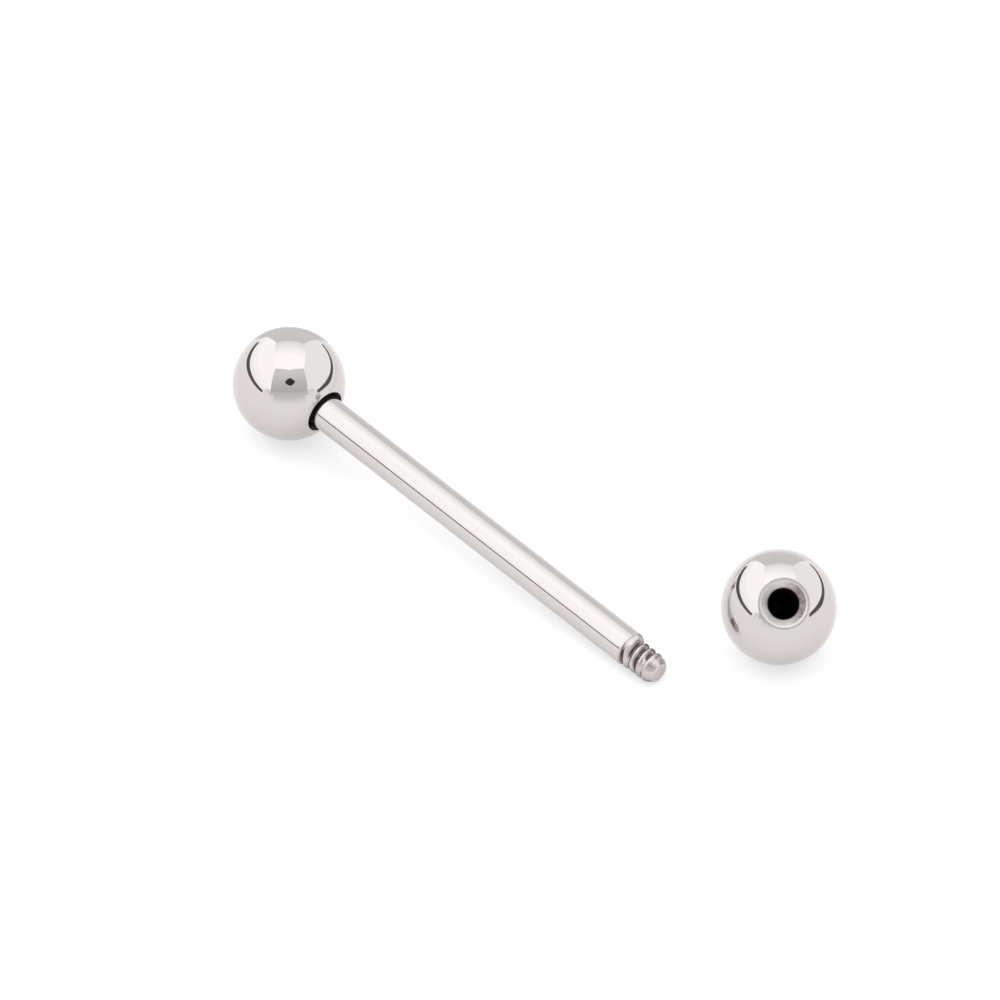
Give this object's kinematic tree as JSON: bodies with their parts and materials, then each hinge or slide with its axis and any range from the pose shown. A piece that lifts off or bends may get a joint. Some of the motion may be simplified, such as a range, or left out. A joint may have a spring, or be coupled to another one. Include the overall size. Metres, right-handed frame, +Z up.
{
  "type": "straight barbell body jewellery",
  "caption": "Straight round bar with a mirror-polished ball fitted at one end and an external thread at the other, beside its unscrewed matching ball.",
  "frame": {"origin": "on the surface that the barbell lies on, midway between the centres of the two balls", "axes": "+X runs along the bar towards its threaded end, +Z is up, +Y completes the right-handed frame"},
  "size_m": [0.0306, 0.0102, 0.0051],
  "materials": {
    "bar_steel": "mirror-polished surgical steel, duller in the cut thread",
    "ball_steel": "mirror-polished surgical steel, duller in the drilled and countersunk hole"
  },
  "bodies": {
    "root": {"post": "bar_steel", "fixed_ball": "ball_steel", "loose_ball": "ball_steel"}
  },
  "joints": []
}
